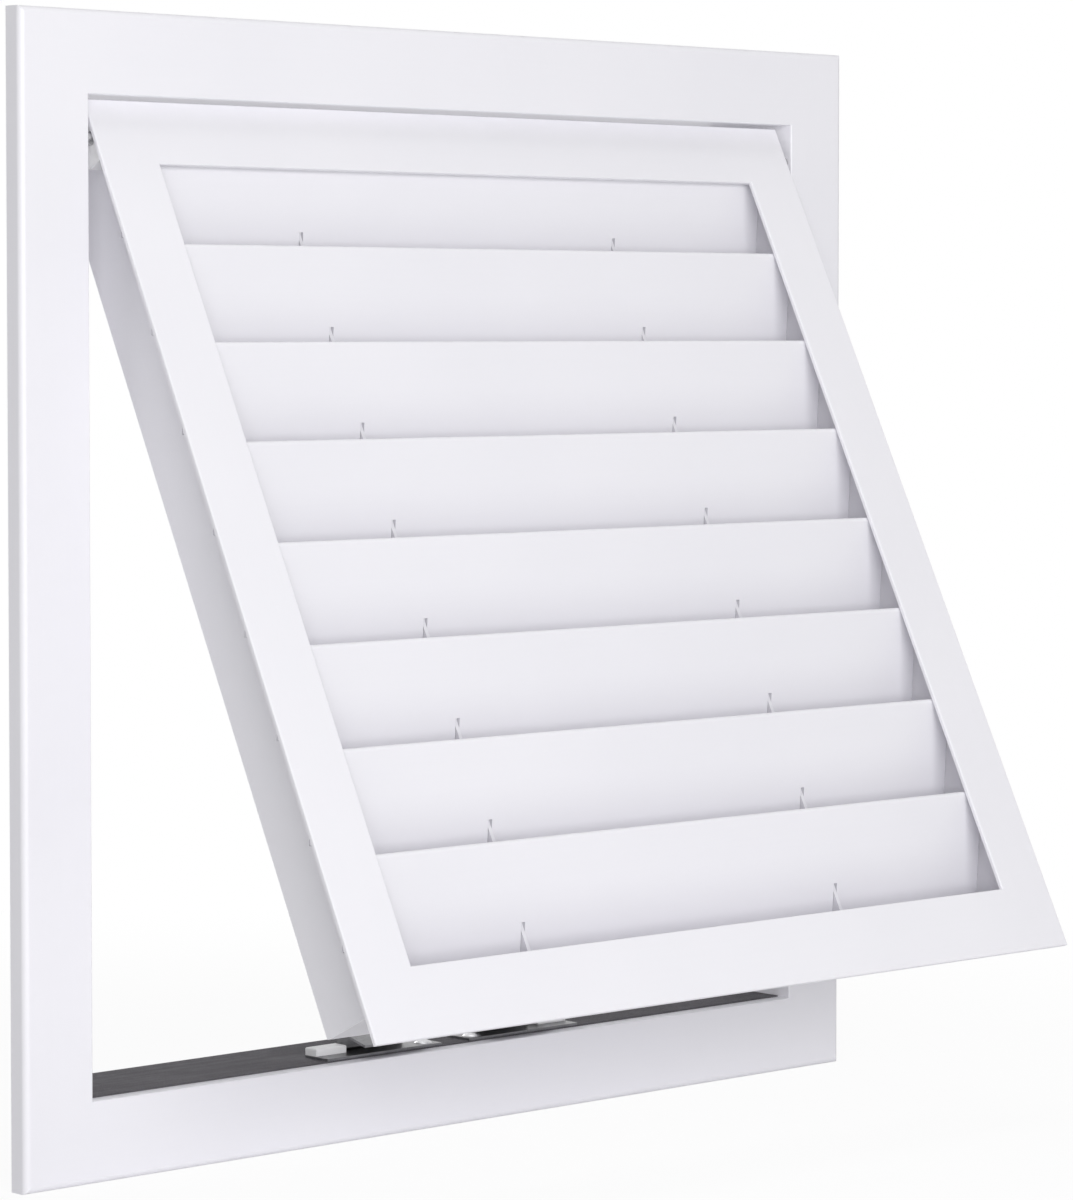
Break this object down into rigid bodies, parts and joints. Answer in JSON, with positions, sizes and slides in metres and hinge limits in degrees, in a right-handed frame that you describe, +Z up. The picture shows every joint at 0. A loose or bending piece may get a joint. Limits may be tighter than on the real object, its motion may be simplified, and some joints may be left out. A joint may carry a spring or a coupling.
{
  "type": "wall vent grille",
  "caption": "Square wall vent grille: a flanged frame with a neck, and a louvred core of slanted blades that swings out from the bottom on a top hinge.",
  "frame": {"origin": "centre of the wall cut-out, in the plane of the wall", "axes": "+Z up, +Y into the wall, +X to the right as seen from the room"},
  "size_m": [0.35, 0.1652, 0.35],
  "materials": {
    "white_coat": "satin",
    "mill_metal": "satin",
    "seal_foam": "matte",
    "spring_steel": "satin",
    "white_nylon": "matte",
    "rivet_metal": "satin",
    "pin_steel": "satin"
  },
  "bodies": {
    "frame": {"frame_top_rail": "white_coat", "frame_bottom_rail": "white_coat", "frame_left_rail": "white_coat", "frame_right_rail": "white_coat", "frame_corner_keys": "mill_metal", "sill_seal": "seal_foam", "catch_clip_left": "spring_steel", "catch_clip_right": "spring_steel", "catch_pad_left": "white_nylon", "catch_pad_right": "white_nylon", "catch_rivets": "rivet_metal"},
    "core": {"core_top_rail": "white_coat", "core_bottom_rail": "white_coat", "core_left_rail": "white_coat", "core_right_rail": "white_coat", "core_corner_cleats": "mill_metal", "blade_1": "white_coat", "blade_2": "white_coat", "blade_3": "white_coat", "blade_4": "white_coat", "blade_5": "white_coat", "blade_6": "white_coat", "blade_7": "white_coat", "blade_8": "white_coat", "tie_bar_left": "white_coat", "tie_bar_right": "white_coat", "pivot_block_left": "white_nylon", "pivot_block_right": "white_nylon", "hinge_pin_left": "pin_steel", "hinge_pin_right": "pin_steel"}
  },
  "joints": [
    {"name": "core_hinge", "type": "hinge", "parent": "frame", "child": "core", "pos_m": [0, -0.0034, 0.137], "axis": [-1, 0, 0], "range_deg": [-26.3, 63.7]}
  ]
}
